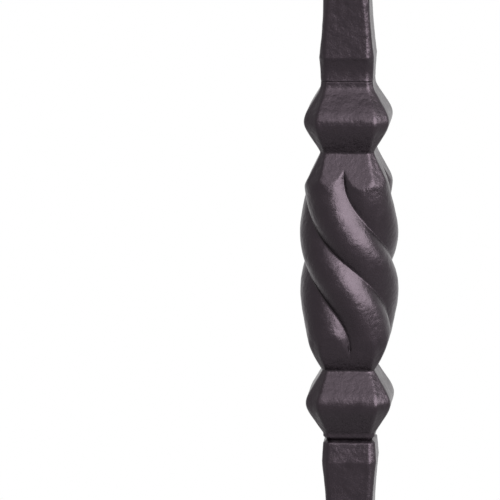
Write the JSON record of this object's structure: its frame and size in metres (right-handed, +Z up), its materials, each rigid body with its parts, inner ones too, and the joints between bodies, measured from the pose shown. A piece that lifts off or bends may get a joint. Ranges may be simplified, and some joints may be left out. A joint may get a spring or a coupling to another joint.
{
  "type": "iron stair baluster",
  "caption": "Hammered square iron baluster with a twisted knuckle between two faceted collars at mid-height; its ends set into a stair tread and a handrail.",
  "frame": {"origin": "centre of the bottom end face, where the baluster meets the tread", "axes": "+Z up along the bar to the handrail end, front face looks along -Y, +X to the right of the front"},
  "size_m": [0.024, 0.024, 1.1176],
  "materials": {
    "black_coat": "satin"
  },
  "bodies": {
    "root": {"upper_bar": "black_coat", "knuckle": "black_coat", "lower_bar": "black_coat"}
  },
  "joints": []
}
